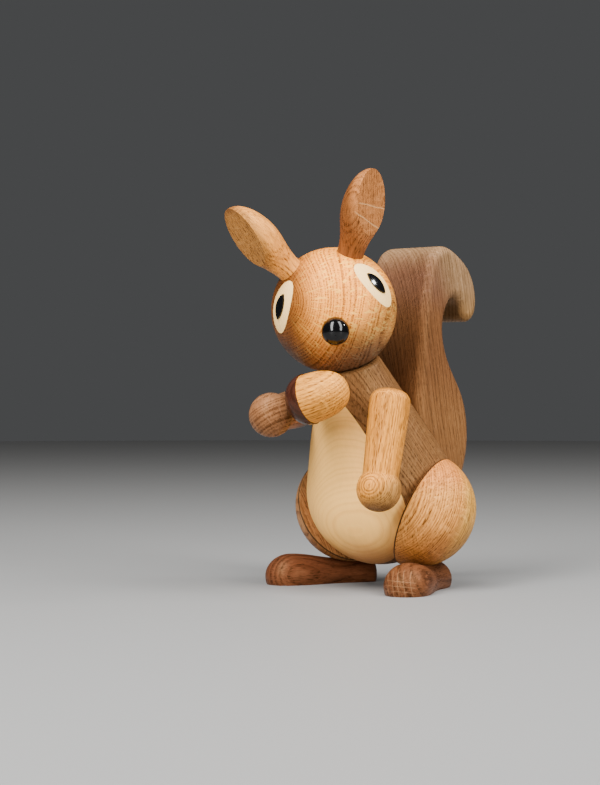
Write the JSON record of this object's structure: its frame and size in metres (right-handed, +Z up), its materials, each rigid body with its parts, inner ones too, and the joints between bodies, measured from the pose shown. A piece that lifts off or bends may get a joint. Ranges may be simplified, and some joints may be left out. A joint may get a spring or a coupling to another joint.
{
  "type": "squirrel figurine",
  "caption": "Turned wooden squirrel standing upright with a curled tail and holding an acorn; the head turns and the arms swing at the shoulders.",
  "frame": {"origin": "on the surface it stands on, under the centre of its bounding box", "axes": "+Z up, -Y the way the chest faces, +X the figure's own left side"},
  "size_m": [0.0878, 0.1221, 0.1763],
  "materials": {
    "oak_body": "satin oil",
    "oak_head": "satin oil",
    "oak_arm": "satin oil",
    "oak_foot": "satin oil",
    "oak_tail": "satin oil",
    "oak_ear": "satin oil",
    "maple": "satin oil",
    "dark_wood": "polished",
    "dowel_wood": "bare",
    "black_gloss": "polished",
    "sleeve_nylon": "matt"
  },
  "bodies": {
    "body": {"torso": "oak_body", "belly": "maple", "left_thigh": "oak_body", "right_thigh": "oak_body", "left_hip_dowel": "dowel_wood", "right_hip_dowel": "dowel_wood", "left_foot": "oak_foot", "right_foot": "oak_foot", "left_foot_dowel": "dowel_wood", "right_foot_dowel": "dowel_wood", "tail": "oak_tail", "tail_upper_dowel": "dowel_wood", "tail_lower_dowel": "dowel_wood", "neck_sleeve": "sleeve_nylon", "left_shoulder_sleeve": "sleeve_nylon", "right_shoulder_sleeve": "sleeve_nylon"},
    "head": {"head": "oak_head", "left_ear": "oak_ear", "right_ear": "oak_ear", "left_eye": "maple", "right_eye": "maple", "left_pupil": "black_gloss", "right_pupil": "black_gloss", "nose": "black_gloss", "neck_dowel": "dowel_wood"},
    "left_arm": {"left_arm": "oak_arm", "left_shoulder_dowel": "dowel_wood"},
    "right_arm": {"right_arm": "oak_arm", "right_shoulder_dowel": "dowel_wood", "acorn_cap": "dark_wood", "acorn_nut": "oak_arm", "acorn_peg": "dowel_wood"}
  },
  "joints": [
    {"name": "head_turn", "type": "hinge", "parent": "body", "child": "head", "pos_m": [0, -0.01536, 0.11855], "axis": [0, -0.36, 0.933], "continuous": true},
    {"name": "left_arm_swing", "type": "hinge", "parent": "body", "child": "left_arm", "pos_m": [0.01888, -0.00681, 0.075], "axis": [-0.8756, 0.4504, -0.1747], "range_deg": [-12, 18]},
    {"name": "right_arm_swing", "type": "hinge", "parent": "body", "child": "right_arm", "pos_m": [-0.01888, -0.00681, 0.075], "axis": [-0.8756, -0.4504, 0.1747], "range_deg": [-30, 6]}
  ]
}
